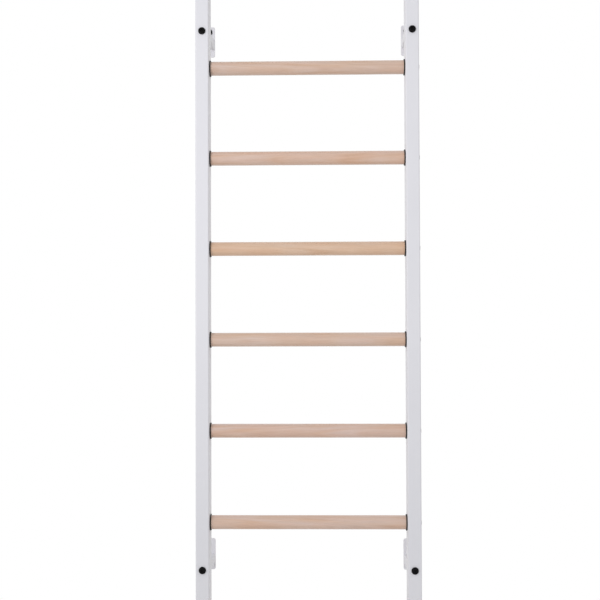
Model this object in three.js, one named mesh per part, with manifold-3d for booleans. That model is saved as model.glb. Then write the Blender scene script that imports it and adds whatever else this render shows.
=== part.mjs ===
// Wall bars: two tubular steel uprights joined by round beech rungs, on four wall brackets.
// Millimetres. +Z is up, +X is right seen from the front, the front faces -Y and the wall is at +Y.
// The floor is z = 0, and x = 0 and y = 0 are the middle of the overall width and depth.
import * as THREE from 'three';
import { mergeVertices } from 'three/addons/utils/BufferGeometryUtils.js';
import Module from 'manifold-3d';

// Clearance between pieces that touch or fit into each other
const FIT_GAP = 0.3;

// Overall layout
const FRAME_WIDTH = 662; // across the outer faces of the uprights
const FIRST_RUNG_HEIGHT = 205; // floor to the lowest rung's axis
const RUNG_PITCH = 270;
const RUNG_COUNT = 8;
const TOP_REACH = 205; // highest rung's axis to the top
const UPPER_FIXING_RISE = 105; // upper bracket bolt above the last rung but one

// Uprights, rectangular tube
const UPRIGHT_FACE = 40;
const UPRIGHT_DEPTH = 70;
const UPRIGHT_WALL = 2;
const UPRIGHT_CORNER = 4;

// Tube plugs at the ends of the uprights
const TOP_CAP_THICKNESS = 4;
const FOOT_THICKNESS = 6;
const PLUG_LENGTH = 18;
const PLUG_WALL = 2.5;

// Rungs and their collars
const RUNG_DIAMETER = 41;
const COLLAR_SLEEVE_WALL = 1.6;
const COLLAR_RIM = 1.6; // flange beyond the sleeve
const COLLAR_FLANGE_THICKNESS = 3.5;
const COLLAR_SLEEVE_REACH = 10; // sleeve inside the tube, past its wall

// Rung end bolts
const RUNG_BOLT_DIAMETER = 8;
const RUNG_BOLT_LENGTH = 50;
const RUNG_BOLT_HEAD_DIAMETER = 17;
const RUNG_BOLT_HEAD_HEIGHT = 2.2;
const RUNG_BOLT_SOCKET = 5; // across flats
const RUNG_BOLT_SOCKET_DEPTH = 2.6;

// Bracket bolts, through the uprights from the front
const BRACKET_BOLT_DIAMETER = 12;
const BRACKET_BOLT_HEAD_DIAMETER = 21.5;
const BRACKET_BOLT_HEAD_HEIGHT = 6.6;
const BRACKET_BOLT_HEAD_LAND = 1.2; // straight edge below the dome
const BRACKET_BOLT_SOCKET = 8; // across flats
const BRACKET_BOLT_SOCKET_DEPTH = 4;
const BRACKET_BOLT_CROWN = 1.2; // flat top round the socket's corners
const BRACKET_BOLT_TIP = 12; // reach past the nut plate
const SPACER_WALL = 3.5;

// Wall brackets
const PLATE_WIDTH = 42;
const PLATE_HEIGHT = 95;
const PLATE_THICKNESS = 5;
const PLATE_CORNER = 6;
const PLATE_RISE = 12; // plate's middle above the bolt axis
const PLATE_HOLE_DIAMETER = 11;
const PLATE_UPPER_HOLE_INSET = 17.5; // hole axis from the plate's top end
const PLATE_LOWER_HOLE_INSET = 13.5; // hole axis from the plate's bottom end
const STANDOFF_WIDTH = 40;
const STANDOFF_HEIGHT = 26;
const STANDOFF_LENGTH = 110;
const STANDOFF_WALL = 3;
const STANDOFF_CORNER = 4;
const NUT_PLATE_THICKNESS = 12;

// Cap nuts on the wall studs
const WALL_NUT_FLATS = 17;
const WALL_NUT_HEX_HEIGHT = 8; // flange included
const WALL_NUT_FLANGE_DIAMETER = 26;
const WALL_NUT_FLANGE_THICKNESS = 2.5;
const WALL_NUT_BORE = 10;
const WALL_NUT_SKIN = 2; // dome over the end of the bore
const WALL_NUT_DOME_INSET = 0.8; // dome inside the flats

// Facets of the round forms
const RUNG_SIDES = 20;
const RUNG_BOLT_SIDES = 12;
const FIXING_SIDES = 16; // bracket bolts, their holes and spacers
const CORNER_STEPS = 3;
const DOME_STEPS = 3;
const HEX_SIDES = 6;

// Values that follow from the sizes above
const height = FIRST_RUNG_HEIGHT + (RUNG_COUNT - 1) * RUNG_PITCH + TOP_REACH;
const uprightX = (FRAME_WIDTH - UPRIGHT_FACE) / 2;
const tubeBottom = FOOT_THICKNESS + FIT_GAP;
const tubeTop = height - TOP_CAP_THICKNESS - FIT_GAP;
const tubeBoreCorner = Math.max(UPRIGHT_CORNER - UPRIGHT_WALL, FIT_GAP);
const frontProud = BRACKET_BOLT_HEAD_HEIGHT + FIT_GAP;
const bracketDepth = FIT_GAP + STANDOFF_LENGTH + PLATE_THICKNESS;
const overallDepth = frontProud + UPRIGHT_DEPTH + bracketDepth;
const uprightFrontY = frontProud - overallDepth / 2;
const uprightY = uprightFrontY + UPRIGHT_DEPTH / 2;
const uprightBackY = uprightFrontY + UPRIGHT_DEPTH;
const rungLength = FRAME_WIDTH - 2 * (UPRIGHT_WALL + FIT_GAP);
const rungRadius = RUNG_DIAMETER / 2;
const collarBore = rungRadius + FIT_GAP;
const sleeveRadius = collarBore + COLLAR_SLEEVE_WALL;
const flangeRadius = sleeveRadius + COLLAR_RIM;
const rungHeight = (index) => FIRST_RUNG_HEIGHT + index * RUNG_PITCH;
const fixingHeights = {
  upper: rungHeight(RUNG_COUNT - 2) + UPPER_FIXING_RISE,
  lower: (rungHeight(0) + rungHeight(1)) / 2,
};
const plateHoleHeights = {
  upper: PLATE_RISE + PLATE_HEIGHT / 2 - PLATE_UPPER_HOLE_INSET,
  lower: PLATE_RISE - PLATE_HEIGHT / 2 + PLATE_LOWER_HOLE_INSET,
};
const sides = { left: -1, right: 1 };

const wasm = await Module();
wasm.setup();

// Closed geometry to a solid that can be joined and cut
function solid(geometry) {
  const bare = geometry.clone();
  bare.deleteAttribute('normal');
  bare.deleteAttribute('uv');
  const merged = mergeVertices(bare);
  const index = merged.index.array;
  const triangles = [];
  for (let i = 0; i < index.length; i += 3) {
    const [a, b, c] = [index[i], index[i + 1], index[i + 2]];
    if (a !== b && b !== c && c !== a) triangles.push(a, b, c);
  }
  return new wasm.Manifold(new wasm.Mesh({
    numProp: 3,
    vertProperties: new Float32Array(merged.attributes.position.array),
    triVerts: new Uint32Array(triangles),
  }));
}

// Solid back to a geometry with flat faces
function geometryOf(body) {
  const mesh = body.getMesh();
  const indexed = new THREE.BufferGeometry();
  indexed.setAttribute('position', new THREE.BufferAttribute(new Float32Array(mesh.vertProperties), 3));
  indexed.setIndex(new THREE.BufferAttribute(new Uint32Array(mesh.triVerts), 1));
  const flat = indexed.toNonIndexed();
  flat.computeVertexNormals();
  return flat;
}

// Rectangle with rounded corners, centred on the origin
function roundedRectangle(width, depth, radius) {
  const corner = Math.min(radius, width / 2, depth / 2);
  const x = width / 2 - corner;
  const y = depth / 2 - corner;
  const shape = new THREE.Shape();
  shape.absarc(x, y, corner, 0, Math.PI / 2);
  shape.absarc(-x, y, corner, Math.PI / 2, Math.PI);
  shape.absarc(-x, -y, corner, Math.PI, 1.5 * Math.PI);
  shape.absarc(x, -y, corner, 1.5 * Math.PI, 2 * Math.PI);
  return shape;
}

// Rounded bar standing on z = 0
function roundedBar(width, depth, radius, length) {
  const shape = roundedRectangle(width, depth, radius);
  const options = { depth: length, bevelEnabled: false, curveSegments: CORNER_STEPS };
  return new THREE.ExtrudeGeometry(shape, options);
}

// Rounded bar that runs from y = 0 towards the wall
function barToWall(width, tall, radius, length) {
  return roundedBar(width, tall, radius, length).rotateX(-Math.PI / 2);
}

// Revolved form about X, from a profile of [radius, x] pairs
function turnedX(profile, count) {
  const points = profile.map(([radius, x]) => new THREE.Vector2(radius, x));
  return new THREE.LatheGeometry(points, count).rotateZ(-Math.PI / 2);
}

// Revolved form about Y, from a profile of [radius, y] pairs
function turnedY(profile, count) {
  const points = profile.map(([radius, y]) => new THREE.Vector2(radius, y));
  return new THREE.LatheGeometry(points, count);
}

// Round cutter along X or Y, centred on the point given
function cutterX(diameter, length, count, x, y, z) {
  const geometry = new THREE.CylinderGeometry(diameter / 2, diameter / 2, length, count);
  return solid(geometry.rotateZ(Math.PI / 2).translate(x, y, z));
}

function cutterY(diameter, length, count, x, y, z) {
  const geometry = new THREE.CylinderGeometry(diameter / 2, diameter / 2, length, count);
  return solid(geometry.translate(x, y, z));
}

// Hexagon's corner radius from its size across flats
function hexCorner(flats) {
  return flats / 2 / Math.cos(Math.PI / HEX_SIDES);
}

// Hexagonal bar along Y, sized across its flats and centred on y
function hexY(flats, length, y) {
  const radius = hexCorner(flats);
  return solid(new THREE.CylinderGeometry(radius, radius, length, HEX_SIDES).translate(0, y, 0));
}

// Upright: tube on its own axis, with the inner wall towards +X and z = 0 on the floor.
// The inner wall has collar holes, the outer wall bolt holes, front and back the bracket bolts' holes.
function uprightGeometry() {
  const length = tubeTop - tubeBottom;
  const bore = roundedBar(
    UPRIGHT_FACE - 2 * UPRIGHT_WALL,
    UPRIGHT_DEPTH - 2 * UPRIGHT_WALL,
    tubeBoreCorner,
    length + 2 * UPRIGHT_WALL,
  ).translate(0, 0, -UPRIGHT_WALL);
  let tube = solid(roundedBar(UPRIGHT_FACE, UPRIGHT_DEPTH, UPRIGHT_CORNER, length));
  tube = tube.subtract(solid(bore)).translate([0, 0, tubeBottom]);
  const innerWallX = (UPRIGHT_FACE - UPRIGHT_WALL) / 2;
  const collarHole = 2 * (sleeveRadius + FIT_GAP);
  const boltHole = RUNG_BOLT_DIAMETER + 2 * FIT_GAP;
  const cutLength = 2 * UPRIGHT_WALL;
  for (let i = 0; i < RUNG_COUNT; i += 1) {
    const z = rungHeight(i);
    tube = tube.subtract(cutterX(collarHole, cutLength, RUNG_SIDES, innerWallX, 0, z));
    tube = tube.subtract(cutterX(boltHole, cutLength, RUNG_BOLT_SIDES, -innerWallX, 0, z));
  }
  const throughLength = UPRIGHT_DEPTH + 2 * UPRIGHT_WALL;
  const fixingHole = BRACKET_BOLT_DIAMETER + 2 * FIT_GAP;
  for (const z of Object.values(fixingHeights)) {
    tube = tube.subtract(cutterY(fixingHole, throughLength, FIXING_SIDES, 0, 0, z));
  }
  return geometryOf(tube);
}

// Tube plug: a plate over the tube's end at z = 0 and a hollow plug that points up into the tube
function plugGeometry(plateThickness) {
  const clear = 2 * (UPRIGHT_WALL + FIT_GAP);
  const plugFace = UPRIGHT_FACE - clear;
  const plugDepth = UPRIGHT_DEPTH - clear;
  const plate = solid(roundedBar(UPRIGHT_FACE, UPRIGHT_DEPTH, UPRIGHT_CORNER, plateThickness));
  const plug = solid(roundedBar(plugFace, plugDepth, tubeBoreCorner, plateThickness / 2 + PLUG_LENGTH));
  const hollow = new THREE.BoxGeometry(plugFace - 2 * PLUG_WALL, plugDepth - 2 * PLUG_WALL, 2 * PLUG_LENGTH);
  hollow.translate(0, 0, plateThickness + PLUG_LENGTH);
  return geometryOf(plate.add(plug.translate([0, 0, plateThickness / 2])).subtract(solid(hollow)));
}

// Rung: round bar along X with a blind pilot hole for the bolt in each end
function rungGeometry() {
  const end = rungLength / 2;
  const pilot = RUNG_BOLT_DIAMETER / 2 + FIT_GAP;
  const floor = end - RUNG_BOLT_LENGTH;
  return turnedX(
    [[0, -floor], [pilot, -floor], [pilot, -end], [rungRadius, -end],
      [rungRadius, end], [pilot, end], [pilot, floor], [0, floor]],
    RUNG_SIDES,
  );
}

// Collar: flange from x = 0 inwards, sleeve the other way through the tube's wall
function collarGeometry() {
  const sleeveEnd = -(FIT_GAP + UPRIGHT_WALL + COLLAR_SLEEVE_REACH);
  const flangeEnd = COLLAR_FLANGE_THICKNESS;
  return turnedX(
    [[collarBore, sleeveEnd], [sleeveRadius, sleeveEnd], [sleeveRadius, 0], [flangeRadius, 0],
      [flangeRadius, flangeEnd], [collarBore, flangeEnd], [collarBore, sleeveEnd]],
    RUNG_SIDES,
  );
}

// Rung end bolt about Y: head below y = 0, shank above it, hexagon socket in the head
function rungBoltGeometry() {
  const headRadius = RUNG_BOLT_HEAD_DIAMETER / 2;
  const shankRadius = RUNG_BOLT_DIAMETER / 2;
  const blank = turnedY(
    [[0, -RUNG_BOLT_HEAD_HEIGHT], [headRadius, -RUNG_BOLT_HEAD_HEIGHT], [headRadius, 0],
      [shankRadius, 0], [shankRadius, RUNG_BOLT_LENGTH], [0, RUNG_BOLT_LENGTH]],
    RUNG_BOLT_SIDES,
  );
  const socket = hexY(RUNG_BOLT_SOCKET, 2 * RUNG_BOLT_SOCKET_DEPTH, -RUNG_BOLT_HEAD_HEIGHT);
  return geometryOf(solid(blank).subtract(socket)).rotateZ(-Math.PI / 2);
}

// Bracket bolt about Y: domed head in front of y = 0, shank towards the wall, hexagon socket in the head
function bracketBoltGeometry() {
  const headRadius = BRACKET_BOLT_HEAD_DIAMETER / 2;
  const crownRadius = hexCorner(BRACKET_BOLT_SOCKET) + BRACKET_BOLT_CROWN;
  const domeHeight = BRACKET_BOLT_HEAD_HEIGHT - BRACKET_BOLT_HEAD_LAND;
  const shankRadius = BRACKET_BOLT_DIAMETER / 2;
  const shankEnd = FIT_GAP + UPRIGHT_DEPTH + FIT_GAP + NUT_PLATE_THICKNESS + BRACKET_BOLT_TIP;
  const dome = [];
  for (let i = 0; i <= DOME_STEPS; i += 1) {
    const turn = (i / DOME_STEPS) * (Math.PI / 2);
    const radius = crownRadius + (headRadius - crownRadius) * Math.sin(turn);
    dome.push([radius, -BRACKET_BOLT_HEAD_LAND - domeHeight * Math.cos(turn)]);
  }
  const blank = turnedY(
    [[0, -BRACKET_BOLT_HEAD_HEIGHT], ...dome, [headRadius, 0],
      [shankRadius, 0], [shankRadius, shankEnd], [0, shankEnd]],
    FIXING_SIDES,
  );
  const socket = hexY(BRACKET_BOLT_SOCKET, 2 * BRACKET_BOLT_SOCKET_DEPTH, -BRACKET_BOLT_HEAD_HEIGHT);
  return geometryOf(solid(blank).subtract(socket));
}

// Spacer sleeve about Y, between the tube's front and back walls
function spacerGeometry() {
  const bore = BRACKET_BOLT_DIAMETER / 2 + FIT_GAP;
  const outer = bore + SPACER_WALL;
  const end = UPRIGHT_DEPTH / 2 - UPRIGHT_WALL - FIT_GAP;
  return turnedY([[bore, -end], [outer, -end], [outer, end], [bore, end], [bore, -end]], FIXING_SIDES);
}

// Wall bracket: standoff tube from y = 0 on the bolt axis, nut plate in its front end, wall plate behind
function bracketGeometry() {
  const plate = solid(barToWall(PLATE_WIDTH, PLATE_HEIGHT, PLATE_CORNER, PLATE_THICKNESS));
  const standoff = solid(
    barToWall(STANDOFF_WIDTH, STANDOFF_HEIGHT, STANDOFF_CORNER, STANDOFF_LENGTH + PLATE_THICKNESS / 2),
  );
  const hollow = new THREE.BoxGeometry(
    STANDOFF_WIDTH - 2 * STANDOFF_WALL,
    STANDOFF_LENGTH - NUT_PLATE_THICKNESS,
    STANDOFF_HEIGHT - 2 * STANDOFF_WALL,
  ).translate(0, (STANDOFF_LENGTH + NUT_PLATE_THICKNESS) / 2, 0);
  const nutHole = BRACKET_BOLT_DIAMETER + 2 * FIT_GAP;
  let bracket = plate.translate([0, STANDOFF_LENGTH, PLATE_RISE]).add(standoff);
  bracket = bracket.subtract(solid(hollow));
  bracket = bracket.subtract(cutterY(nutHole, 2 * NUT_PLATE_THICKNESS + FIT_GAP, FIXING_SIDES, 0, 0, 0));
  for (const z of Object.values(plateHoleHeights)) {
    bracket = bracket.subtract(
      cutterY(PLATE_HOLE_DIAMETER, 3 * PLATE_THICKNESS, FIXING_SIDES, 0, STANDOFF_LENGTH, z),
    );
  }
  return geometryOf(bracket);
}

// Cap nut about Y: flange at y = 0 against the wall plate, hexagon and dome in front of it
function wallNutGeometry() {
  const domeRadius = WALL_NUT_FLATS / 2 - WALL_NUT_DOME_INSET;
  const dome = [];
  for (let i = 0; i <= DOME_STEPS; i += 1) {
    const turn = (i / DOME_STEPS) * (Math.PI / 2);
    dome.push([domeRadius * Math.sin(turn), -WALL_NUT_HEX_HEIGHT - domeRadius * Math.cos(turn)]);
  }
  const middle = -WALL_NUT_HEX_HEIGHT / 2;
  const cap = solid(turnedY([...dome, [domeRadius, middle], [0, middle]], FIXING_SIDES));
  const hexagon = hexY(WALL_NUT_FLATS, WALL_NUT_HEX_HEIGHT, middle);
  const seatRadius = WALL_NUT_FLANGE_DIAMETER / 2;
  const flange = solid(turnedY(
    [[0, -WALL_NUT_FLANGE_THICKNESS], [seatRadius, -WALL_NUT_FLANGE_THICKNESS], [seatRadius, 0], [0, 0]],
    FIXING_SIDES,
  ));
  const boreInDome = Math.sqrt(domeRadius ** 2 - (WALL_NUT_BORE / 2) ** 2) - WALL_NUT_SKIN;
  const bore = cutterY(WALL_NUT_BORE, 2 * (WALL_NUT_HEX_HEIGHT + boreInDome), FIXING_SIDES, 0, 0, 0);
  return geometryOf(hexagon.add(cap).add(flange).subtract(bore));
}

// Finishes
const finishes = {
  frameWhite: { color: 0xecebf0, roughness: 0.42, metalness: 0 },
  beech: { color: 0xd2b296, roughness: 0.5, metalness: 0 },
  collarBlack: { color: 0x201f1f, roughness: 0.55, metalness: 0 },
  boltBlack: { color: 0x1c1c1e, roughness: 0.4, metalness: 0.3 },
  capBlack: { color: 0x242424, roughness: 0.6, metalness: 0 },
  sleeveSteel: { color: 0x9a9ca0, roughness: 0.35, metalness: 1 },
};

function piece(name, geometry, finish, x, y, z) {
  const mesh = new THREE.Mesh(geometry, new THREE.MeshStandardMaterial(finishes[finish]));
  mesh.name = name;
  mesh.position.set(x, y, z);
  return mesh;
}

const forms = {
  upright: uprightGeometry(),
  topCap: plugGeometry(TOP_CAP_THICKNESS),
  foot: plugGeometry(FOOT_THICKNESS),
  rung: rungGeometry(),
  collar: collarGeometry(),
  rungBolt: rungBoltGeometry(),
  bracketBolt: bracketBoltGeometry(),
  spacer: spacerGeometry(),
  bracket: bracketGeometry(),
  wallNut: wallNutGeometry(),
};

// One upright with its end plugs, collars and rung bolts. Built facing +X, turned round for the right side.
function sideFrame(side) {
  const frame = new THREE.Group();
  frame.position.set(sides[side] * uprightX, uprightY, 0);
  frame.rotation.z = side === 'right' ? Math.PI : 0;
  frame.add(piece(`${side}_upright`, forms.upright, 'frameWhite', 0, 0, 0));
  frame.add(piece(`foot_${side}`, forms.foot, 'capBlack', 0, 0, 0));
  const topCap = piece(`top_cap_${side}`, forms.topCap, 'capBlack', 0, 0, height);
  topCap.rotation.x = Math.PI;
  frame.add(topCap);
  const seat = UPRIGHT_FACE / 2 + FIT_GAP;
  for (let i = 0; i < RUNG_COUNT; i += 1) {
    const z = rungHeight(i);
    frame.add(piece(`rung_collar_${side}_${i + 1}`, forms.collar, 'collarBlack', seat, 0, z));
    frame.add(piece(`rung_bolt_${side}_${i + 1}`, forms.rungBolt, 'boltBlack', -seat, 0, z));
  }
  return frame;
}

// One wall bracket with its bolt and spacer, at the height of the bolt axis
function fixing(level, side) {
  const group = new THREE.Group();
  const label = `${level}_${side}`;
  group.position.set(sides[side] * uprightX, uprightBackY, fixingHeights[level]);
  const boltSeat = -UPRIGHT_DEPTH - FIT_GAP;
  group.add(piece(`wall_bracket_${label}`, forms.bracket, 'frameWhite', 0, FIT_GAP, 0));
  group.add(piece(`spacer_sleeve_${label}`, forms.spacer, 'sleeveSteel', 0, -UPRIGHT_DEPTH / 2, 0));
  group.add(piece(`bracket_bolt_${label}`, forms.bracketBolt, 'boltBlack', 0, boltSeat, 0));
  if (level === 'upper') {
    const nutHeight = plateHoleHeights.upper;
    group.add(piece(`wall_nut_${label}`, forms.wallNut, 'boltBlack', 0, STANDOFF_LENGTH, nutHeight));
  }
  return group;
}

const wallBars = new THREE.Group();
for (const side of Object.keys(sides)) {
  wallBars.add(sideFrame(side));
  for (const level of Object.keys(fixingHeights)) wallBars.add(fixing(level, side));
}
for (let i = 0; i < RUNG_COUNT; i += 1) {
  wallBars.add(piece(`rung_${i + 1}`, forms.rung, 'beech', 0, uprightY, rungHeight(i)));
}

export default wallBars;
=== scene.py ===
import math

import bmesh
import bpy
from mathutils import Matrix, Vector


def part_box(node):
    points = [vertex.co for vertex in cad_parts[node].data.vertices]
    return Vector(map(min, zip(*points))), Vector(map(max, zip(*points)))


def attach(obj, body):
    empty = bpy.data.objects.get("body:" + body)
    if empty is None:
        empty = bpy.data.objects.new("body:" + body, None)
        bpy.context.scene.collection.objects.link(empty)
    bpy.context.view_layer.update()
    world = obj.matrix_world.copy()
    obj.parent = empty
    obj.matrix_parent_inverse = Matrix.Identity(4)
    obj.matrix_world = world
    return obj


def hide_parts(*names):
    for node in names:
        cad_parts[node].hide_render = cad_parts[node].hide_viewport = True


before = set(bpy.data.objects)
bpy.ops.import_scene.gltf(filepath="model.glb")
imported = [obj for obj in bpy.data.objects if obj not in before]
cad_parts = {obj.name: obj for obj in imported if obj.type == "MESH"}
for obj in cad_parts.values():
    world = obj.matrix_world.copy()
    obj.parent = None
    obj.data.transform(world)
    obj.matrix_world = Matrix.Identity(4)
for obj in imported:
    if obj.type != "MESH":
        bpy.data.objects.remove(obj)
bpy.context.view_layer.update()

# Wall bars: steel uprights in white powder coat, beech rungs in black collars, black bolts, wall brackets.
# Metres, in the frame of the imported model: +Z up, the front faces -Y and the wall is at +Y.


def centre(node):
    """The middle of a node's box."""
    low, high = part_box(node)
    return (low + high) / 2


def size(node):
    """The width, depth and height of a node's box."""
    low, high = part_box(node)
    return high - low


MM = 0.001
TURN = 2 * math.pi

# Words in the names of the nodes
SIDES = ("left", "right")
LEVELS = ("upper", "lower")

# Clearance between pieces that fit into each other, and a cutter's reach as a multiple of what it cuts
FIT_GAP = 0.3 * MM
OVERCUT = 1.5

# Fineness of the round forms
RUNG_SIDES = 96
FIXING_SIDES = 72
CORNER_STEPS = 8
FILLET_STEPS = 6
DOME_STEPS = 12
SMOOTH_ANGLE = math.radians(32)

# Uprights
UPRIGHT_WALL = 2 * MM
UPRIGHT_CORNER = 4 * MM
TUBE_EDGE = 0.4 * MM

# Plugs in the ends of the uprights
PLUG_WALL = 2.5 * MM
TOP_CAP_THICKNESS = 4 * MM
TOP_CAP_EDGE = 1.6 * MM
FOOT_THICKNESS = 6 * MM
FOOT_EDGE = 1 * MM
FOOT_GROOVE_COUNT = 5
FOOT_GROOVE_WIDTH = 2.4 * MM
FOOT_GROOVE_DEPTH = 1 * MM
FOOT_GROOVE_CORNER = 0.8 * MM
FOOT_GROOVE_PITCH = 9 * MM
FOOT_GROOVE_MARGIN = 7 * MM

# Rungs and their collars
RUNG_LENGTH = size("rung_1").x
RUNG_RADIUS = size("rung_1").z / 2
RUNG_END_EDGE = 1 * MM
COLLAR_LENGTH = size("rung_collar_left_1").x
COLLAR_RADIUS = size("rung_collar_left_1").z / 2
COLLAR_BORE_RADIUS = RUNG_RADIUS + FIT_GAP
COLLAR_SLEEVE_WALL = 1.6 * MM
COLLAR_SLEEVE_RADIUS = COLLAR_BORE_RADIUS + COLLAR_SLEEVE_WALL
COLLAR_FLANGE = 3.5 * MM
COLLAR_EDGE = 1.1 * MM
COLLAR_LIP_EDGE = 0.5 * MM

# Rung bolts
RUNG_BOLT_RADIUS = 4 * MM
RUNG_BOLT_HEAD_RADIUS = size("rung_bolt_left_1").z / 2
RUNG_BOLT_HEAD_HEIGHT = 2.2 * MM
RUNG_BOLT_HEAD_EDGE = 0.9 * MM
RUNG_BOLT_LENGTH = size("rung_bolt_left_1").x - RUNG_BOLT_HEAD_HEIGHT
RUNG_BOLT_SOCKET = 5 * MM
RUNG_BOLT_SOCKET_DEPTH = 2.6 * MM

# Bracket bolts and the spacer sleeves round them
BRACKET_BOLT_RADIUS = 6 * MM
BRACKET_BOLT_HEAD_RADIUS = size("bracket_bolt_upper_left").x / 2
BRACKET_BOLT_HEAD_HEIGHT = 6.6 * MM
BRACKET_BOLT_HEAD_LAND = 1.2 * MM
BRACKET_BOLT_CROWN = 1.2 * MM
BRACKET_BOLT_LENGTH = size("bracket_bolt_upper_left").y - BRACKET_BOLT_HEAD_HEIGHT
BRACKET_BOLT_SOCKET = 8 * MM
BRACKET_BOLT_SOCKET_DEPTH = 4 * MM
BOLT_TIP_EDGE = 1 * MM
SOCKET_EDGE = 0.35 * MM
SPACER_LENGTH = size("spacer_sleeve_upper_left").y
SPACER_RADIUS = size("spacer_sleeve_upper_left").x / 2
SPACER_EDGE = 0.4 * MM

# Wall brackets, with heights from the axis of the bracket bolt
BRACKET_AXIS = centre("bracket_bolt_upper_left").z
PLATE_WIDTH, BRACKET_LENGTH, PLATE_HEIGHT = size("wall_bracket_upper_left")
PLATE_RISE = centre("wall_bracket_upper_left").z - BRACKET_AXIS
PLATE_THICKNESS = 5 * MM
PLATE_CORNER = 6 * MM
PLATE_EDGE = 0.8 * MM
PLATE_HOLE_RADIUS = 5.5 * MM
PLATE_UPPER_HOLE_RISE = centre("wall_nut_upper_left").z - BRACKET_AXIS
PLATE_LOWER_HOLE_INSET = 13.5 * MM
STANDOFF_WIDTH = 40 * MM
STANDOFF_HEIGHT = 26 * MM
STANDOFF_LENGTH = BRACKET_LENGTH - PLATE_THICKNESS
STANDOFF_WALL = 3 * MM
STANDOFF_CORNER = 4 * MM
STANDOFF_EDGE = 0.5 * MM
NUT_PLATE_THICKNESS = 12 * MM
WELD_RADIUS = 1.8 * MM
WELD_LENGTH = 33 * MM
WELD_END_POWER = 6
WELD_RIPPLES = 13
WELD_RIPPLE_DEPTH = 0.2 * MM
WELD_STEPS = 104
WELD_SIDES = 24

# Cap nuts on the wall studs
WALL_NUT_HEIGHT = size("wall_nut_upper_left").y
WALL_NUT_FLATS = 17 * MM
WALL_NUT_FLANGE_RADIUS = size("wall_nut_upper_left").x / 2
WALL_NUT_FLANGE_THICKNESS = 2.5 * MM
WALL_NUT_FLANGE_EDGE = 0.8 * MM
WALL_NUT_BORE_RADIUS = 5 * MM
WALL_NUT_SKIN = 2 * MM
WALL_NUT_DOME_INSET = 0.8 * MM
WALL_NUT_CHAMFER = 0.7 * MM

# Directions in which a form that is built along local Z can point
TO_X = Matrix.Rotation(TURN / 4, 4, "Y")
TO_Y = Matrix.Rotation(-TURN / 4, 4, "X")
HALF_TURN = Matrix.Rotation(TURN / 2, 4, "Z")
UPSIDE_DOWN = Matrix.Rotation(TURN / 2, 4, "X")

# Colours, linear
COAT_LOW = (0.826, 0.828, 0.862)
COAT_HIGH = (0.853, 0.854, 0.884)
COLLAR_BLACK = (0.010, 0.0085, 0.008)
CAP_BLACK = (0.018, 0.018, 0.0185)
RUBBED_PLASTIC = (1.5, 1.5, 1.5)
BOLT_BLACK = (0.003, 0.003, 0.003)
BOLT_WORN = (0.007, 0.007, 0.008)
ZINC_LOW = (0.52, 0.52, 0.52)
ZINC_HIGH = (0.6, 0.61, 0.63)

# Tones of the rungs, from the lowest up, and the shades that the figure of the wood multiplies in
RUNG_TONES = (
    (0.765, 0.56, 0.44),
    (0.79, 0.585, 0.47),
    (0.775, 0.565, 0.455),
    (0.76, 0.562, 0.44),
    (0.785, 0.555, 0.39),
    (0.76, 0.54, 0.416),
    (0.74, 0.543, 0.425),
    (0.755, 0.55, 0.42),
)
RUNG_COUNT = len(RUNG_TONES)
WOOD_DARK = (0.97, 0.88, 0.78)
WOOD_LIGHT = (1.01, 1.06, 1.14)
WOOD_BLUSH = (1.02, 0.96, 0.95)
RING_SHADE = (0.9, 0.87, 0.84)
FIBRE_SHADE = (0.88, 0.88, 0.88)
FLECK_SHADE = (0.74, 0.66, 0.6)
NO_SHADE = (1, 1, 1)

# Grain: the shift from rung to rung, and the pith that the growth rings go round, in metres and radians
RUNG_SHIFT = Vector((1.7, 0.31, 0.17))
PITH_REACH = 0.055
PITH_STEP = 2.4
PITH_LEAN = 0.035
RING_SWAY = 0.006

# The part of 0 to 1 that noise mostly stays in
NOISE_LOW = 0.3
NOISE_HIGH = 0.7

# Floor: its colours, the share of white over it, and how far out it keeps the shadow before it fades
FLOOR_REACH = 30.0
FLOOR_LOW = (0.832, 0.822, 0.808)
FLOOR_HIGH = (0.845, 0.835, 0.82)
FLOOR_LIFT = 0.45
SHADOW_REACH = 0.42
SHADOW_END = 0.88

# Light, with the power of the key lamp in watts
PLAIN_WHITE = (1, 1, 1, 1)
AMBIENT = (0.658, 0.662, 0.674, 1)
KEY_PLACE = Vector((-2.5, -4.2, 1.65))
KEY_AIM = Vector((0.05, 0.0, 1.75))
KEY_SIZE = 1.7
KEY_SPREAD = math.radians(60)
KEY_POWER = 8.6
KEY_COLOUR = (1.02, 1.0, 1.04)

# Camera, with its lens and sensor in millimetres
CAMERA_PLACE = (0.0533, -3.3761, 1.0566)
CAMERA_PITCH = math.radians(1.307)
CAMERA_YAW = math.radians(1.321)
CAMERA_ROLL = math.radians(0.175)
CAMERA_LENS = 67.11
CAMERA_SENSOR = 36


# Outlines and profiles

def hexagon(flats):
    """The radius of a hexagon at each angle."""
    sixth = TURN / 6
    return lambda angle: flats / 2 / math.cos(angle % sixth - sixth / 2)


def outline_ring(outline, height, sides):
    """Points round local Z, at a radius, or at one that a function gives for each angle."""
    ring = []
    for i in range(sides):
        angle = TURN * i / sides
        radius = outline(angle) if callable(outline) else outline
        ring.append(Vector((radius * math.cos(angle), radius * math.sin(angle), height)))
    return ring


def rectangle_ring(width, depth, corner, height):
    """Points round a rectangle with rounded corners, centred on local Z."""
    x = width / 2 - corner
    y = depth / 2 - corner
    ring = []
    for quarter, (right, back) in enumerate(((1, 1), (-1, 1), (-1, -1), (1, -1))):
        for i in range(CORNER_STEPS + 1):
            angle = TURN / 4 * (quarter + i / CORNER_STEPS)
            ring.append(Vector((
                right * x + corner * math.cos(angle),
                back * y + corner * math.sin(angle),
                height,
            )))
    return ring


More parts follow.
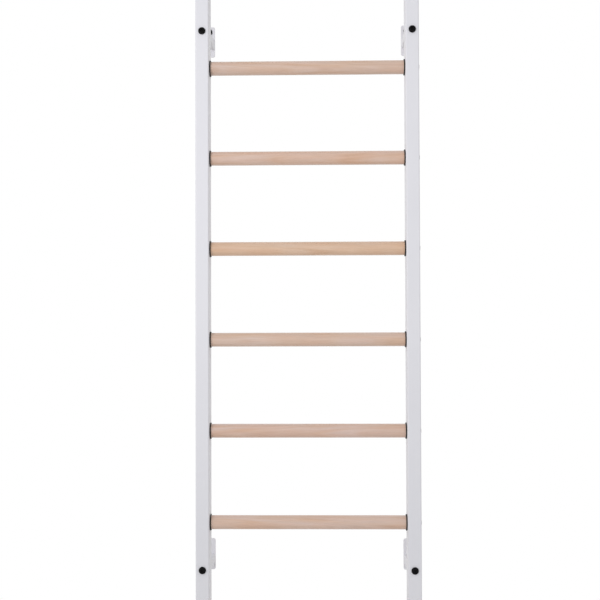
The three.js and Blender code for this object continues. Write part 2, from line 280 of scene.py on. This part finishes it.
def oval(radius, height, wide, tall, start, end, steps):
    """Profile points on an ellipse about (radius, height), from start to end in degrees."""
    points = []
    for i in range(steps + 1):
        angle = math.radians(start + (end - start) * i / steps)
        points.append((radius + wide * math.cos(angle), height + tall * math.sin(angle)))
    return points


def fillet(radius, height, edge, start, end):
    """Profile points on a rounded edge about (radius, height), from start to end in degrees."""
    return oval(radius, height, edge, edge, start, end, FILLET_STEPS)


def edge_steps(edge):
    """(inset, setback) pairs round a rounded edge, from the end face to the side."""
    return fillet(edge, edge, edge, -90, -180)


def mirrored(half):
    """A whole profile from its upper half, which runs from the inside to the outside."""
    return [(radius, -height) for radius, height in half] + half[::-1]


# Meshes

def skin(form, rings, closed=False):
    """Adds faces through rings of points to a bmesh. A ring of one point is a pole."""
    made = [[form.verts.new(point) for point in ring] for ring in rings]
    pairs = list(zip(made, made[1:]))
    if closed:
        pairs.append((made[-1], made[0]))
    for low, high in pairs:
        count = max(len(low), len(high))
        for i in range(count):
            j = (i + 1) % count
            corners = [low[i % len(low)], low[j % len(low)], high[j % len(high)], high[i % len(high)]]
            form.faces.new(list(dict.fromkeys(corners)))
    if not closed:
        for ring in (made[0], made[-1]):
            if len(ring) > 1:
                form.faces.new(ring)


def mesh_of(form, name, turn=None):
    """Closes a bmesh into a mesh with its faces pointing out, turned to its direction."""
    bmesh.ops.recalc_face_normals(form, faces=form.faces[:])
    mesh = bpy.data.meshes.new(name)
    form.to_mesh(mesh)
    form.free()
    if turn is not None:
        mesh.transform(turn)
    return mesh


def turned(name, profile, sides, turn, closed=False):
    """A turned form from (radius or outline, height) points along local Z."""
    rings = []
    for outline, height in profile:
        if outline == 0:
            rings.append([Vector((0, 0, height))])
        else:
            rings.append(outline_ring(outline, height, sides))
    form = bmesh.new()
    skin(form, rings, closed)
    return mesh_of(form, name, turn)


def slab_rings(width, depth, corner, low, high, low_edge, high_edge):
    """Rings of a bar with rounded corners from low to high, with rounded edges at both ends."""
    places = [(inset, low + setback) for inset, setback in edge_steps(low_edge)]
    places += [(inset, high - setback) for inset, setback in reversed(edge_steps(high_edge))]
    return [
        rectangle_ring(width - 2 * inset, depth - 2 * inset, corner - inset, height)
        for inset, height in places
    ]


def bar_to_wall(name, width, tall, corner, start, end, edge):
    """A rounded bar along +Y, from y = start to y = end."""
    form = bmesh.new()
    skin(form, slab_rings(width, tall, corner, start, end, edge, edge))
    return mesh_of(form, name, TO_Y)


def drill(form, radius, thickness, place):
    """Adds a round cutter along local Z to a bmesh, long enough for a wall of a thickness at a place."""
    reach = OVERCUT * thickness
    rings = [outline_ring(radius, height, FIXING_SIDES) for height in (-reach, reach)]
    skin(form, [[place @ point for point in ring] for ring in rings])


def combine(mesh, tool, operation):
    """Cuts or joins two closed meshes, and returns a new one."""
    objects = [bpy.data.objects.new("shape_" + part.name, part) for part in (mesh, tool)]
    for item in objects:
        bpy.context.scene.collection.objects.link(item)
    boolean = objects[0].modifiers.new("boolean", "BOOLEAN")
    boolean.object = objects[1]
    boolean.operation = operation
    boolean.solver = "EXACT"
    graph = bpy.context.evaluated_depsgraph_get()
    made = bpy.data.meshes.new_from_object(objects[0].evaluated_get(graph))
    made.name = mesh.name
    for item in objects:
        bpy.data.objects.remove(item)
    return made


def at(x, y, z):
    """A shift to a place."""
    return Matrix.Translation((x, y, z))


# Pieces, each built round its own origin

def upright_mesh():
    """A tube with its inner wall towards +X, with holes for collars, rung bolts and bracket bolts."""
    low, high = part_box("left_upright")
    width, depth = (high - low).xy
    rings = slab_rings(width, depth, UPRIGHT_CORNER, low.z, high.z, TUBE_EDGE, TUBE_EDGE)
    bore = (width - 2 * UPRIGHT_WALL, depth - 2 * UPRIGHT_WALL, UPRIGHT_CORNER - UPRIGHT_WALL)
    rings += [rectangle_ring(*bore, high.z), rectangle_ring(*bore, low.z)]
    tube = bmesh.new()
    skin(tube, rings, closed=True)
    holes = bmesh.new()
    wall = (width - UPRIGHT_WALL) / 2
    for i in range(RUNG_COUNT):
        height = centre(f"rung_{i + 1}").z
        drill(holes, COLLAR_SLEEVE_RADIUS + FIT_GAP, UPRIGHT_WALL, at(wall, 0, height) @ TO_X)
        drill(holes, RUNG_BOLT_RADIUS + FIT_GAP, UPRIGHT_WALL, at(-wall, 0, height) @ TO_X)
    for level in LEVELS:
        height = centre(f"bracket_bolt_{level}_left").z
        drill(holes, BRACKET_BOLT_RADIUS + FIT_GAP, depth, at(0, 0, height) @ TO_Y)
    return combine(mesh_of(tube, "upright"), mesh_of(holes, "upright_holes"), "DIFFERENCE")


def plug_mesh(name, node, thickness, edge):
    """A plate over the tube's end, with its outer face at z = 0, and a hollow plug above it."""
    width, depth, top = size(node)
    clear = 2 * (UPRIGHT_WALL + FIT_GAP)
    corner = UPRIGHT_CORNER - UPRIGHT_WALL
    plug = (width - clear, depth - clear, corner)
    hollow = (width - clear - 2 * PLUG_WALL, depth - clear - 2 * PLUG_WALL, corner)
    rings = slab_rings(width, depth, UPRIGHT_CORNER, 0, thickness, edge, TUBE_EDGE)
    rings += [rectangle_ring(*plug, thickness), rectangle_ring(*plug, top)]
    rings += [rectangle_ring(*hollow, top), rectangle_ring(*hollow, thickness)]
    form = bmesh.new()
    skin(form, rings)
    return mesh_of(form, name)


def foot_mesh():
    """A floor plug with grooves across its sole."""
    width = size("foot_left").x - 2 * FOOT_GROOVE_MARGIN
    grooves = bmesh.new()
    for i in range(FOOT_GROOVE_COUNT):
        across = Vector((0, (i - (FOOT_GROOVE_COUNT - 1) / 2) * FOOT_GROOVE_PITCH, 0))
        rings = [
            rectangle_ring(width, FOOT_GROOVE_WIDTH, FOOT_GROOVE_CORNER, end * FOOT_GROOVE_DEPTH)
            for end in (-1, 1)
        ]
        skin(grooves, [[point + across for point in ring] for ring in rings])
    foot = plug_mesh("foot", "foot_left", FOOT_THICKNESS, FOOT_EDGE)
    return combine(foot, mesh_of(grooves, "foot_grooves"), "DIFFERENCE")


def rung_mesh():
    """A round bar along X with rounded ends and a pilot hole in each."""
    end = RUNG_LENGTH / 2
    floor = end - RUNG_BOLT_LENGTH
    pilot = RUNG_BOLT_RADIUS + FIT_GAP
    half = [(0, floor), (pilot, floor), (pilot, end)]
    half += fillet(RUNG_RADIUS - RUNG_END_EDGE, end - RUNG_END_EDGE, RUNG_END_EDGE, 90, 0)
    return turned("rung", mirrored(half), RUNG_SIDES, TO_X)


def collar_mesh():
    """A flanged bush about X: the flange stands on x = 0 and the sleeve goes back through the wall."""
    back = COLLAR_FLANGE - COLLAR_LENGTH
    lip = COLLAR_LIP_EDGE
    profile = [
        (COLLAR_BORE_RADIUS, back),
        (COLLAR_SLEEVE_RADIUS - lip, back),
        (COLLAR_SLEEVE_RADIUS, back + lip),
        (COLLAR_SLEEVE_RADIUS, 0),
    ]
    profile += fillet(COLLAR_RADIUS - lip, lip, lip, -90, 0)
    profile += fillet(COLLAR_RADIUS - COLLAR_EDGE, COLLAR_FLANGE - COLLAR_EDGE, COLLAR_EDGE, 0, 90)
    profile += fillet(COLLAR_BORE_RADIUS + lip, COLLAR_FLANGE - lip, lip, 90, 180)
    return turned("collar", profile, RUNG_SIDES, TO_X, closed=True)


def socket_profile(flats, depth, top):
    """A hexagon socket, from its floor to the head's top face."""
    return [
        (0, top + depth),
        (hexagon(flats), top + depth),
        (hexagon(flats), top + SOCKET_EDGE),
        (hexagon(flats + 2 * SOCKET_EDGE), top),
    ]


def shank_profile(radius, length):
    """A plain shank from z = 0 to its bevelled tip."""
    return [(radius, 0), (radius, length - BOLT_TIP_EDGE), (radius - BOLT_TIP_EDGE, length), (0, length)]


def rung_bolt_mesh():
    """A low flat head outside x = 0 and a shank along +X."""
    top = -RUNG_BOLT_HEAD_HEIGHT
    edge = RUNG_BOLT_HEAD_EDGE
    profile = socket_profile(RUNG_BOLT_SOCKET, RUNG_BOLT_SOCKET_DEPTH, top)
    profile += fillet(RUNG_BOLT_HEAD_RADIUS - edge, top + edge, edge, -90, 0)
    profile.append((RUNG_BOLT_HEAD_RADIUS, 0))
    profile += shank_profile(RUNG_BOLT_RADIUS, RUNG_BOLT_LENGTH)
    return turned("rung_bolt", profile, FIXING_SIDES, TO_X)


def bracket_bolt_mesh():
    """A domed head in front of y = 0 and a shank towards the wall."""
    crown = hexagon(BRACKET_BOLT_SOCKET)(0) + BRACKET_BOLT_CROWN
    dome_width = BRACKET_BOLT_HEAD_RADIUS - crown
    dome_height = BRACKET_BOLT_HEAD_HEIGHT - BRACKET_BOLT_HEAD_LAND
    profile = socket_profile(BRACKET_BOLT_SOCKET, BRACKET_BOLT_SOCKET_DEPTH, -BRACKET_BOLT_HEAD_HEIGHT)
    profile += oval(crown, -BRACKET_BOLT_HEAD_LAND, dome_width, dome_height, -90, 0, DOME_STEPS)
    profile.append((BRACKET_BOLT_HEAD_RADIUS, 0))
    profile += shank_profile(BRACKET_BOLT_RADIUS, BRACKET_BOLT_LENGTH)
    return turned("bracket_bolt", profile, FIXING_SIDES, TO_Y)


def spacer_mesh():
    """A plain sleeve about Y, centred on its middle."""
    bore = BRACKET_BOLT_RADIUS + FIT_GAP
    end = SPACER_LENGTH / 2
    half = [
        (bore, end - SPACER_EDGE),
        (bore + SPACER_EDGE, end),
        (SPACER_RADIUS - SPACER_EDGE, end),
        (SPACER_RADIUS, end - SPACER_EDGE),
    ]
    return turned("spacer", mirrored(half), FIXING_SIDES, TO_Y, closed=True)


def weld_mesh():
    """A rippled weld bead along X, thinning out at both ends."""
    end = WELD_LENGTH / 2
    profile = [(0, -end)]
    for i in range(1, WELD_STEPS):
        share = i / WELD_STEPS
        along = 2 * share - 1
        swell = math.sqrt(1 - abs(along) ** WELD_END_POWER)
        ripple = WELD_RIPPLE_DEPTH * abs(math.sin(math.pi * WELD_RIPPLES * share))
        profile.append((swell * (WELD_RADIUS - WELD_RIPPLE_DEPTH + ripple), along * end))
    profile.append((0, end))
    return turned("weld", profile, WELD_SIDES, TO_X)


def bracket_holes():
    """Cutters for the bolt hole in the nut plate and the two fixing holes in the wall plate."""
    lower = PLATE_RISE - PLATE_HEIGHT / 2 + PLATE_LOWER_HOLE_INSET
    holes = bmesh.new()
    drill(holes, BRACKET_BOLT_RADIUS + FIT_GAP, NUT_PLATE_THICKNESS, TO_Y)
    for height in (PLATE_UPPER_HOLE_RISE, lower):
        drill(holes, PLATE_HOLE_RADIUS, PLATE_THICKNESS, at(0, STANDOFF_LENGTH, height) @ TO_Y)
    return mesh_of(holes, "bracket_holes")


def bracket_mesh():
    """A standoff tube from y = 0 on the bolt axis, with a nut plate in front and a wall plate behind."""
    overlap = PLATE_THICKNESS / 2
    bracket = bar_to_wall(
        "bracket", STANDOFF_WIDTH, STANDOFF_HEIGHT, STANDOFF_CORNER,
        0, STANDOFF_LENGTH + overlap, STANDOFF_EDGE,
    )
    plate = bar_to_wall(
        "plate", PLATE_WIDTH, PLATE_HEIGHT, PLATE_CORNER,
        STANDOFF_LENGTH, BRACKET_LENGTH, PLATE_EDGE,
    )
    plate.transform(at(0, 0, PLATE_RISE))
    bracket = combine(bracket, plate, "UNION")
    for end in (-1, 1):
        weld = weld_mesh()
        weld.transform(at(0, STANDOFF_LENGTH, end * STANDOFF_HEIGHT / 2))
        bracket = combine(bracket, weld, "UNION")
    hollow = bar_to_wall(
        "hollow", STANDOFF_WIDTH - 2 * STANDOFF_WALL, STANDOFF_HEIGHT - 2 * STANDOFF_WALL,
        STANDOFF_CORNER - STANDOFF_WALL, NUT_PLATE_THICKNESS, STANDOFF_LENGTH, STANDOFF_EDGE,
    )
    bracket = combine(bracket, hollow, "DIFFERENCE")
    return combine(bracket, bracket_holes(), "DIFFERENCE")


def wall_nut_mesh():
    """A cap nut about Y: its flange on y = 0, the hexagon and the dome in front of it."""
    dome = WALL_NUT_FLATS / 2 - WALL_NUT_DOME_INSET
    front = dome - WALL_NUT_HEIGHT
    bore_top = front - math.sqrt(dome ** 2 - WALL_NUT_BORE_RADIUS ** 2) + WALL_NUT_SKIN
    edge = WALL_NUT_FLANGE_EDGE
    rim = WALL_NUT_FLANGE_RADIUS - edge
    profile = [
        (0, bore_top),
        (WALL_NUT_BORE_RADIUS, bore_top),
        (WALL_NUT_BORE_RADIUS, -WALL_NUT_CHAMFER),
        (WALL_NUT_BORE_RADIUS + WALL_NUT_CHAMFER, 0),
    ]
    profile += fillet(rim, -edge, edge, 90, 0)
    profile += fillet(rim, edge - WALL_NUT_FLANGE_THICKNESS, edge, 0, -90)
    profile += [
        (hexagon(WALL_NUT_FLATS), -WALL_NUT_FLANGE_THICKNESS),
        (hexagon(WALL_NUT_FLATS), front + WALL_NUT_CHAMFER),
        (WALL_NUT_FLATS / 2, front),
    ]
    profile += oval(0, front, dome, dome, 0, -90, DOME_STEPS)[:-1]
    profile.append((0, front - dome))
    return turned("wall_nut", profile, FIXING_SIDES, TO_Y)


# Materials

class Finish:
    """A material's shader, with short calls for the textures that drive it, in the piece's coordinates."""

    # Places of a Mix node's colour sockets, because several of its sockets share a name
    MIX_FACTOR = 0
    MIX_A = 6
    MIX_B = 7
    MIX_RESULT = 2

    def __init__(self, name, offset=(0, 0, 0)):
        self.material = bpy.data.materials.new(name)
        self.material.use_nodes = True
        self.tree = self.material.node_tree
        self.shader = self.tree.nodes["Principled BSDF"]
        coordinates = self.add("ShaderNodeTexCoord").outputs["Object"]
        self.place = self.add("ShaderNodeMapping", Vector=coordinates, Location=offset).outputs["Vector"]

    def add(self, kind, **values):
        """A node whose sockets hold the values given, or are linked to the sockets given."""
        node = self.tree.nodes.new(kind)
        self.fill(node, values)
        return node

    def paint(self, **values):
        """Sets the shader's own sockets."""
        self.fill(self.shader, values)

    def fill(self, node, values):
        """Sets a node's sockets by their names, with underscores for the spaces in them."""
        for name, value in values.items():
            self.set(node.inputs[name.replace("_", " ")], value)

    def set(self, socket, value):
        """Links a socket to another one, or gives it a value."""
        if isinstance(value, bpy.types.NodeSocket):
            self.tree.links.new(value, socket)
        else:
            socket.default_value = value

    def scaled(self, density, place=None):
        """Coordinates that grow by the density in a metre, the same all round or one for each axis."""
        scale = density if isinstance(density, tuple) else (density, density, density)
        node = self.add("ShaderNodeMapping", Vector=place or self.place, Scale=scale)
        return node.outputs["Vector"]

    def noise(self, density, detail=2, roughness=0.5, place=None):
        """Soft noise with about so many waves in a metre."""
        where = self.scaled(density, place)
        node = self.add("ShaderNodeTexNoise", Vector=where, Scale=1, Detail=detail, Roughness=roughness)
        return node.outputs["Fac"]

    def cells(self, density):
        """The distance to the nearest of scattered points, with about so many points in a metre."""
        node = self.add("ShaderNodeTexVoronoi", Vector=self.scaled(density), Scale=1)
        return node.outputs["Distance"]

    def spread(self, value, low, high, start=NOISE_LOW, end=NOISE_HIGH):
        """Maps start..end of a value to low..high."""
        node = self.add(
            "ShaderNodeMapRange",
            Value=value, From_Min=start, From_Max=end, To_Min=low, To_Max=high,
        )
        return node.outputs["Result"]

    def calculate(self, operation, a, b):
        """A sum or product of two numbers."""
        node = self.tree.nodes.new("ShaderNodeMath")
        node.operation = operation
        self.set(node.inputs[0], a)
        self.set(node.inputs[1], b)
        return node.outputs["Value"]

    def length(self, vector):
        """How far a point is from the origin of its coordinates."""
        node = self.tree.nodes.new("ShaderNodeVectorMath")
        node.operation = "LENGTH"
        self.set(node.inputs[0], vector)
        return node.outputs["Value"]

    def ramp(self, factor, stops):
        """A colour ramp through (place, colour) stops."""
        node = self.add("ShaderNodeValToRGB", Fac=factor)
        elements = node.color_ramp.elements
        while len(elements) < len(stops):
            elements.new(1)
        for element, (place, colour) in zip(elements, stops):
            element.position = place
            element.color = (*colour, 1)
        return node.outputs["Color"]

    def between(self, pattern, low, high, start=NOISE_LOW, end=NOISE_HIGH):
        """A colour that goes from low to high as a pattern goes from start to end."""
        return self.ramp(pattern, [(start, low), (end, high)])

    def mix(self, factor, a, b, blend="MIX"):
        """Colour b over colour a."""
        node = self.tree.nodes.new("ShaderNodeMix")
        node.data_type = "RGBA"
        node.blend_type = blend
        self.set(node.inputs[self.MIX_FACTOR], factor)
        self.set(node.inputs[self.MIX_A], a)
        self.set(node.inputs[self.MIX_B], b)
        return node.outputs[self.MIX_RESULT]

    def darkened(self, colour, pattern, shade, start, end, strength):
        """A colour with a shade multiplied in where a pattern is low, and none of it from end up."""
        shades = self.between(pattern, shade, NO_SHADE, start, end)
        return self.mix(strength, colour, shades, "MULTIPLY")

    def bump(self, pattern, height, strength, over=None):
        """A normal that follows a pattern of a height in metres, over another normal if there is one."""
        node = self.add("ShaderNodeBump", Height=pattern, Distance=height, Strength=strength)
        if over is not None:
            self.set(node.inputs["Normal"], over)
        return node.outputs["Normal"]


def shaded(colour, factors):
    """A colour multiplied by a factor for each of its parts."""
    return tuple(part * factor for part, factor in zip(colour, factors))


def powder_coat(name):
    """White powder coat: orange peel, faint clouding, and gloss that varies a little."""
    finish = Finish(name)
    clouds = finish.noise(3.2, detail=3)
    rubs = finish.noise((60, 60, 9), detail=4, roughness=0.65)
    peel = finish.noise(820, roughness=0.45)
    specks = finish.noise(2600, detail=1)
    wavy = finish.bump(peel, height=0.06 * MM, strength=0.35)
    finish.paint(
        Base_Color=finish.between(clouds, COAT_LOW, COAT_HIGH),
        Roughness=finish.spread(rubs, low=0.36, high=0.5),
        Normal=finish.bump(specks, height=0.02 * MM, strength=0.25, over=wavy),
        Specular_IOR_Level=0.45,
    )
    return finish.material


def growth_rings(finish, index):
    """Coordinates across and along the growth rings. They go round a pith that is outside the bar and
    leans a little, so that they run out of its surface."""
    angle = PITH_STEP * index
    side = math.cos(angle)
    up = math.sin(angle)
    board = finish.add(
        "ShaderNodeMapping", Vector=finish.place,
        Rotation=(0, PITH_LEAN * side, PITH_LEAN * up),
        Location=(0, PITH_REACH * side, PITH_REACH * up),
    )
    parts = finish.add("ShaderNodeSeparateXYZ", Vector=board.outputs["Vector"]).outputs
    sway = finish.spread(finish.noise((5, 22, 22)), low=-RING_SWAY, high=RING_SWAY, start=0, end=1)
    across = finish.calculate("ADD", parts["Y"], sway)
    spoke = finish.add("ShaderNodeCombineXYZ", X=across, Y=parts["Z"]).outputs["Vector"]
    return finish.add("ShaderNodeCombineXYZ", X=finish.length(spoke), Y=parts["X"]).outputs["Vector"]


def beech(name, index):
    """Lacquered beech with its grain along X: growth rings, pink and tan streaks, fibres and ray flecks."""
    tone = RUNG_TONES[index]
    finish = Finish(name, offset=index * RUNG_SHIFT)
    board = growth_rings(finish, index)
    bands = finish.noise((95, 5, 1), place=board)
    rings = finish.noise((330, 4, 1), roughness=0.6, place=board)
    streaks = finish.noise((7.5, 130, 130), detail=3, roughness=0.55)
    fibres = finish.noise((22, 760, 760), detail=3, roughness=0.6)
    flecks = finish.cells((150, 620, 620))
    colour = finish.ramp(bands, [
        (NOISE_LOW, shaded(tone, WOOD_DARK)),
        (0.5, tone),
        (NOISE_HIGH, shaded(tone, WOOD_LIGHT)),
    ])
    blush = finish.spread(streaks, low=0, high=0.75, start=0.45, end=0.7)
    colour = finish.mix(blush, colour, (*shaded(tone, WOOD_BLUSH), 1))
    colour = finish.darkened(colour, rings, RING_SHADE, start=0.32, end=0.58, strength=0.8)
    colour = finish.darkened(colour, fibres, FIBRE_SHADE, start=0.3, end=0.62, strength=0.75)
    colour = finish.darkened(colour, flecks, FLECK_SHADE, start=0.08, end=0.2, strength=0.6)
    pores = finish.bump(fibres, height=0.08 * MM, strength=0.3)
    finish.paint(
        Base_Color=colour,
        Roughness=finish.spread(streaks, low=0.42, high=0.56),
        Normal=finish.bump(flecks, height=0.05 * MM, strength=0.12, over=pores),
        Specular_IOR_Level=0.45,
        Coat_Weight=0.5,
        Coat_Roughness=0.22,
    )
    return finish.material


def moulded_plastic(name, black, grain, gloss):
    """Black moulded plastic with a fine spark-eroded grain and slightly rubbed gloss."""
    finish = Finish(name)
    texture = finish.noise(grain, detail=3, roughness=0.6)
    handling = finish.noise(70, detail=3)
    finish.paint(
        Base_Color=finish.between(handling, black, shaded(black, RUBBED_PLASTIC), end=0.75),
        Roughness=finish.spread(handling, low=gloss - 0.06, high=gloss + 0.08),
        Normal=finish.bump(texture, height=0.05 * MM, strength=0.3),
        Specular_IOR_Level=0.25,
    )
    return finish.material


def blackened_steel(name):
    """Black bolt steel: a thin dark coating over turned metal, a little paler where tools touch it."""
    finish = Finish(name)
    blotches = finish.noise(160, detail=3, roughness=0.55)
    grit = finish.noise(1900)
    finish.paint(
        Base_Color=finish.between(blotches, BOLT_BLACK, BOLT_WORN, end=0.75),
        Roughness=finish.spread(blotches, low=0.26, high=0.4),
        Normal=finish.bump(grit, height=0.02 * MM, strength=0.25),
        Specular_IOR_Level=0.08,
    )
    return finish.material


def zinc_steel(name):
    """Bright zinc on a turned sleeve, with fine turning marks round its axis."""
    finish = Finish(name)
    marks = finish.noise((40, 2400, 40))
    clouds = finish.noise(90)
    finish.paint(
        Base_Color=finish.between(clouds, ZINC_LOW, ZINC_HIGH),
        Metallic=1.0,
        Roughness=finish.spread(marks, low=0.28, high=0.44),
        Normal=finish.bump(marks, height=0.02 * MM, strength=0.3),
    )
    return finish.material


# Assembly

def add_piece(node, mesh, material, place):
    """A fine piece in the place of a CAD node."""
    own = mesh.copy()
    own.name = "fine_" + node
    own.materials.append(material)
    own.shade_smooth()
    own.set_sharp_from_angle(angle=SMOOTH_ANGLE)
    item = bpy.data.objects.new("fine_" + node, own)
    bpy.context.scene.collection.objects.link(item)
    item.matrix_world = place
    normals = item.modifiers.new("weighted_normals", "WEIGHTED_NORMAL")
    normals.keep_sharp = True
    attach(item, "root")
    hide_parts(node)


def facing(side, x, y, z):
    """A place on one side of the frame, turned so that local +X points inwards."""
    return at(x, y, z) if side == "left" else at(x, y, z) @ HALF_TURN


def add_uprights():
    """The two tubes, each with its foot and its cap."""
    white = powder_coat("powder_coat_upright")
    black = moulded_plastic("cap_plastic", CAP_BLACK, grain=900, gloss=0.58)
    tube = upright_mesh()
    foot = foot_mesh()
    cap = plug_mesh("top_cap", "top_cap_left", TOP_CAP_THICKNESS, TOP_CAP_EDGE)
    for side in SIDES:
        axis = centre(f"{side}_upright")
        add_piece(f"{side}_upright", tube, white, facing(side, axis.x, axis.y, 0))
        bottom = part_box(f"foot_{side}")[0].z
        add_piece(f"foot_{side}", foot, black, facing(side, axis.x, axis.y, bottom))
        top = facing(side, axis.x, axis.y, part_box(f"top_cap_{side}")[1].z)
        add_piece(f"top_cap_{side}", cap, black, top @ UPSIDE_DOWN)


def add_rungs():
    """The bars, each in a tone of its own."""
    bar = rung_mesh()
    for i in range(RUNG_COUNT):
        node = f"rung_{i + 1}"
        add_piece(node, bar, beech(f"beech_{i + 1}", i), at(*centre(node)))


def add_rung_ends():
    """A collar in the inner wall and a bolt through the outer wall at both ends of each rung."""
    plastic = moulded_plastic("collar_plastic", COLLAR_BLACK, grain=1400, gloss=0.5)
    steel = blackened_steel("rung_bolt_steel")
    collar = collar_mesh()
    bolt = rung_bolt_mesh()
    for side in SIDES:
        inward = 1 if side == "left" else -1
        for i in range(RUNG_COUNT):
            node = f"rung_collar_{side}_{i + 1}"
            middle = centre(node)
            x = middle.x + inward * (size(node).x / 2 - COLLAR_FLANGE)
            add_piece(node, collar, plastic, facing(side, x, middle.y, middle.z))
            node = f"rung_bolt_{side}_{i + 1}"
            x = centre(node).x - inward * (size(node).x / 2 - RUNG_BOLT_HEAD_HEIGHT)
            add_piece(node, bolt, steel, facing(side, x, middle.y, middle.z))


def add_fixings():
    """The wall brackets with their bolts and spacer sleeves, and the nuts of the upper brackets."""
    white = powder_coat("powder_coat_bracket")
    steel = blackened_steel("bracket_bolt_steel")
    zinc = zinc_steel("sleeve_zinc")
    bracket = bracket_mesh()
    bolt = bracket_bolt_mesh()
    spacer = spacer_mesh()
    nut = wall_nut_mesh()
    for level in LEVELS:
        for side in SIDES:
            label = f"{level}_{side}"
            axis = centre(f"bracket_bolt_{label}")
            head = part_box(f"bracket_bolt_{label}")[0].y + BRACKET_BOLT_HEAD_HEIGHT
            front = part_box(f"wall_bracket_{label}")[0].y
            add_piece(f"bracket_bolt_{label}", bolt, steel, at(axis.x, head, axis.z))
            add_piece(f"wall_bracket_{label}", bracket, white, at(axis.x, front, axis.z))
            sleeve = f"spacer_sleeve_{label}"
            add_piece(sleeve, spacer, zinc, at(*centre(sleeve)))
    for side in SIDES:
        node = f"wall_nut_upper_{side}"
        middle = centre(node)
        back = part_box(node)[1].y
        add_piece(node, nut, steel, at(middle.x, back, middle.z))


# Stage

def seen_directly(tree):
    """One for camera, mirror and glass rays, and zero for the light that falls on the object."""
    path = tree.nodes.new("ShaderNodeLightPath")
    total = path.outputs["Is Camera Ray"]
    for name in ("Is Glossy Ray", "Is Transmission Ray"):
        node = tree.nodes.new("ShaderNodeMath")
        node.operation = "MAXIMUM"
        tree.links.new(total, node.inputs[0])
        tree.links.new(path.outputs[name], node.inputs[1])
        total = node.outputs[0]
    return total


def whiten(tree, shader, white, share, output):
    """Puts a share of a white shader over another one, and links the two to the tree's output."""
    mix = tree.nodes.new("ShaderNodeMixShader")
    tree.links.new(share, mix.inputs[0])
    tree.links.new(shader.outputs[0], mix.inputs[1])
    tree.links.new(white.outputs[0], mix.inputs[2])
    tree.links.new(mix.outputs[0], tree.nodes[output].inputs["Surface"])


def add_world():
    """Soft light all round, and plain white where the background is seen."""
    world = bpy.data.worlds.new("studio")
    world.use_nodes = True
    bpy.context.scene.world = world
    tree = world.node_tree
    light = tree.nodes["Background"]
    light.inputs["Color"].default_value = AMBIENT
    white = tree.nodes.new("ShaderNodeBackground")
    white.inputs["Color"].default_value = PLAIN_WHITE
    whiten(tree, light, white, seen_directly(tree), "World Output")


def floor_material():
    """Pale floor that keeps the shadow near the object and fades into the white background."""
    finish = Finish("pale_floor")
    mottle = finish.noise(14, detail=3)
    finish.paint(
        Base_Color=finish.between(mottle, FLOOR_LOW, FLOOR_HIGH),
        Roughness=0.7,
        Specular_IOR_Level=0.2,
    )
    fade = finish.add(
        "ShaderNodeMapRange",
        Value=finish.length(finish.place), From_Min=SHADOW_REACH, From_Max=SHADOW_END, To_Min=FLOOR_LIFT,
    )
    fade.interpolation_type = "SMOOTHSTEP"
    share = finish.calculate("MULTIPLY", fade.outputs["Result"], seen_directly(finish.tree))
    white = finish.add("ShaderNodeEmission", Color=PLAIN_WHITE, Strength=1)
    whiten(finish.tree, finish.shader, white, share, "Material Output")
    return finish.material


def add_floor():
    """A plain floor, far wider than any view."""
    form = bmesh.new()
    bmesh.ops.create_grid(form, x_segments=2, y_segments=2, size=FLOOR_REACH)
    mesh = bpy.data.meshes.new("floor")
    form.to_mesh(mesh)
    form.free()
    mesh.materials.append(floor_material())
    floor = bpy.data.objects.new("floor", mesh)
    bpy.context.scene.collection.objects.link(floor)


def add_key_light():
    """A round soft lamp in front of the object, to the left of the camera."""
    lamp = bpy.data.lights.new("key", "AREA")
    lamp.shape = "DISK"
    lamp.size = KEY_SIZE
    lamp.spread = KEY_SPREAD
    lamp.energy = KEY_POWER
    lamp.color = KEY_COLOUR
    item = bpy.data.objects.new("key", lamp)
    item.location = KEY_PLACE
    item.rotation_euler = (KEY_AIM - KEY_PLACE).to_track_quat("-Z", "Y").to_euler()
    bpy.context.scene.collection.objects.link(item)


def add_camera():
    """A camera in front of the object, almost level and almost square to it."""
    data = bpy.data.cameras.new("camera")
    data.lens = CAMERA_LENS
    data.sensor_width = CAMERA_SENSOR
    camera = bpy.data.objects.new("camera", data)
    look_along_y = Matrix.Rotation(TURN / 4, 4, "X")
    turn = Matrix.Rotation(CAMERA_YAW, 4, "Z")
    turn @= Matrix.Rotation(CAMERA_PITCH, 4, "X")
    turn @= Matrix.Rotation(CAMERA_ROLL, 4, "Y")
    camera.matrix_world = at(*CAMERA_PLACE) @ turn @ look_along_y
    bpy.context.scene.collection.objects.link(camera)
    bpy.context.scene.camera = camera


add_uprights()
add_rungs()
add_rung_ends()
add_fixings()
add_world()
add_floor()
add_key_light()
add_camera()
bpy.context.scene.view_settings.view_transform = "Standard"
